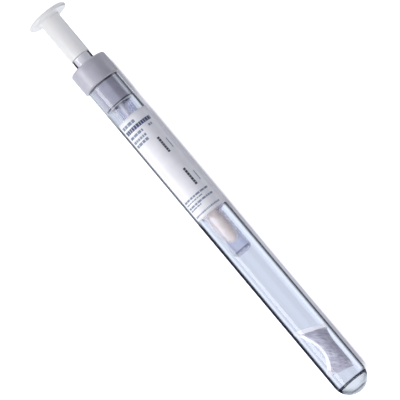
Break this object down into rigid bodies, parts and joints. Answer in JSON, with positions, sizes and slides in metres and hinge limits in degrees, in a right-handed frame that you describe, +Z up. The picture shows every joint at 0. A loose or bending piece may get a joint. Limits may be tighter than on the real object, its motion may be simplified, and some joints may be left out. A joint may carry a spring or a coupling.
{
  "type": "specimen swab tube",
  "caption": "Swab in a small glass tube, carried in the bored rubber stopper of a larger round-bottomed glass tube, with a thumb plunger, a paper label and a sachet.",
  "frame": {"origin": "on the ground, under the middle of the thumb flange, on which the tube stands", "axes": "+Z up along the tube's axis, from the thumb flange to the round bottom, and -Y to the front, where the label is printed"},
  "size_m": [0.0198, 0.0198, 0.2166],
  "materials": {
    "clear_glass": "drawn and fire-polished",
    "inner_glass": "drawn and fire-polished",
    "grey_rubber": "moulded, matt",
    "white_polypropylene": "moulded, translucent",
    "stick_polystyrene": "extruded",
    "bud_fibre": "wound rayon fibre",
    "label_paper": "coated, printed",
    "sachet_film": "thin crimped film"
  },
  "bodies": {
    "tube": {"outer_tube": "clear_glass", "label": "label_paper", "sachet": "sachet_film"},
    "stopper": {"stopper": "grey_rubber"},
    "inner": {"inner_tube": "inner_glass"},
    "swab": {"plunger": "white_polypropylene", "swab_stick": "stick_polystyrene", "swab_bud": "bud_fibre"}
  },
  "joints": [
    {"name": "stopper_pull", "type": "slide", "parent": "tube", "child": "stopper", "axis": [0, 0, -1], "range_m": [0, 0.125]},
    {"name": "inner_push", "type": "slide", "parent": "stopper", "child": "inner", "axis": [0, 0, 1], "range_m": [0, 0.0265]},
    {"name": "swab_pull", "type": "slide", "parent": "inner", "child": "swab", "axis": [0, 0, -1], "range_m": [0, 0.11]}
  ]
}
